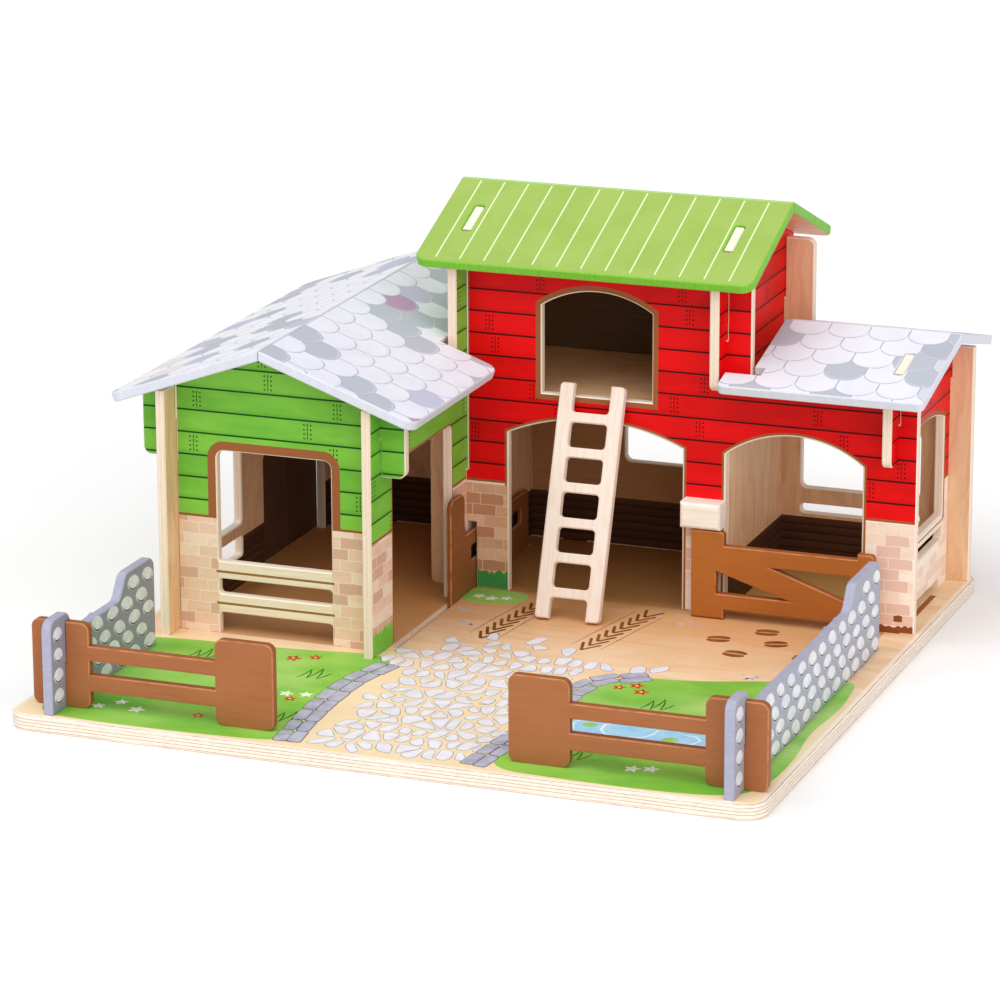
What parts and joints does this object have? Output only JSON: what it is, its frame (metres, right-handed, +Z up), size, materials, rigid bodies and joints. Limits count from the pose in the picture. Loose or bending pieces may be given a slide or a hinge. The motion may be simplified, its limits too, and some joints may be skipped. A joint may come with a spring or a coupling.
{
  "type": "toy barn",
  "caption": "Flat-pack toy barn on a printed board: stable, loft barn and side barn, swinging and sliding gates, side doors, lift-off roofs and a ladder.",
  "frame": {"origin": "centre of the base board's underside", "axes": "+Z up, +Y from the open yard to the back wall, +X to the right seen from the yard"},
  "size_m": [0.4713, 0.4697, 0.2596],
  "materials": {
    "board": "printed plywood, satin varnish",
    "green_print": "printed green boards over brick, satin",
    "red_print": "printed red boards over brick, satin",
    "back_print": "bare and printed plywood, satin",
    "shingle_print": "printed pale shingles, satin",
    "green_roof": "printed light green with white stripes, satin",
    "stone_print": "printed grey stones, satin",
    "brown_paint": "brown stain, satin",
    "bare_ply": "bare sanded wood",
    "pin_steel": "drawn wire"
  },
  "bodies": {
    "barn": {"base_board": "board", "stable_front_wall": "green_print", "stable_left_wall": "green_print", "divider_wall": "green_print", "barn_front_wall": "red_print", "barn_gable_wall": "red_print", "side_barn_wall": "red_print", "back_wall": "back_print", "stone_wall_left": "stone_print", "stone_wall_right": "stone_print", "fence_left": "brown_paint", "fence_right": "brown_paint", "loft_floor": "bare_ply", "loft_cleats": "bare_ply", "pivot_block": "bare_ply", "block_dowels": "bare_ply", "door_head": "bare_ply", "head_dowels": "bare_ply"},
    "yard_gate": {"yard_gate": "brown_paint", "yard_gate_pins": "pin_steel"},
    "stable_gate": {"stable_gate": "brown_paint"},
    "side_door_front": {"side_door_front": "brown_paint", "side_door_front_pins": "pin_steel"},
    "side_door_back": {"side_door_back": "brown_paint", "side_door_back_pins": "pin_steel"},
    "stable_roof_left": {"stable_roof_left": "shingle_print"},
    "stable_roof_right": {"stable_roof_right": "shingle_print"},
    "barn_roof_front": {"barn_roof_front": "green_roof"},
    "barn_roof_back": {"barn_roof_back": "green_roof"},
    "side_roof_front": {"side_roof_front": "shingle_print"},
    "side_roof_back": {"side_roof_back": "shingle_print"},
    "ladder": {"ladder": "bare_ply"}
  },
  "joints": [
    {"name": "yard_gate_hinge", "type": "hinge", "parent": "barn", "child": "yard_gate", "pos_m": [0.0915, 0.0835, 0.038], "axis": [0, 0, -1], "range_deg": [0, 110]},
    {"name": "stable_gate_slide", "type": "slide", "parent": "barn", "child": "stable_gate", "axis": [0, -1, 0], "range_m": [0, 0.088]},
    {"name": "side_door_front_hinge", "type": "hinge", "parent": "barn", "child": "side_door_front", "pos_m": [-0.2099, 0.0795, 0.05], "axis": [0, 0, 1], "range_deg": [0, 110]},
    {"name": "side_door_back_hinge", "type": "hinge", "parent": "barn", "child": "side_door_back", "pos_m": [-0.2099, 0.1795, 0.05], "axis": [0, 0, -1], "range_deg": [0, 110]},
    {"name": "stable_roof_left_lift", "type": "slide", "parent": "barn", "child": "stable_roof_left", "axis": [-0.3371, 0, 0.9415], "range_m": [0, 0.05]},
    {"name": "stable_roof_right_lift", "type": "slide", "parent": "barn", "child": "stable_roof_right", "axis": [0, 0, 1], "range_m": [0, 0.03]},
    {"name": "barn_roof_front_lift", "type": "slide", "parent": "barn", "child": "barn_roof_front", "axis": [0, -0.3714, 0.9285], "range_m": [0, 0.05]},
    {"name": "barn_roof_back_lift", "type": "slide", "parent": "barn", "child": "barn_roof_back", "axis": [0, 0.3714, 0.9285], "range_m": [0, 0.05]},
    {"name": "side_roof_front_lift", "type": "slide", "parent": "barn", "child": "side_roof_front", "axis": [0, -0.2402, 0.9707], "range_m": [0, 0.04]},
    {"name": "side_roof_back_lift", "type": "slide", "parent": "barn", "child": "side_roof_back", "axis": [0, 0.2402, 0.9707], "range_m": [0, 0.04]},
    {"name": "ladder_lift", "type": "slide", "parent": "barn", "child": "ladder", "axis": [0, -0.9444, 0.3289], "range_m": [0, 0.04]}
  ]
}
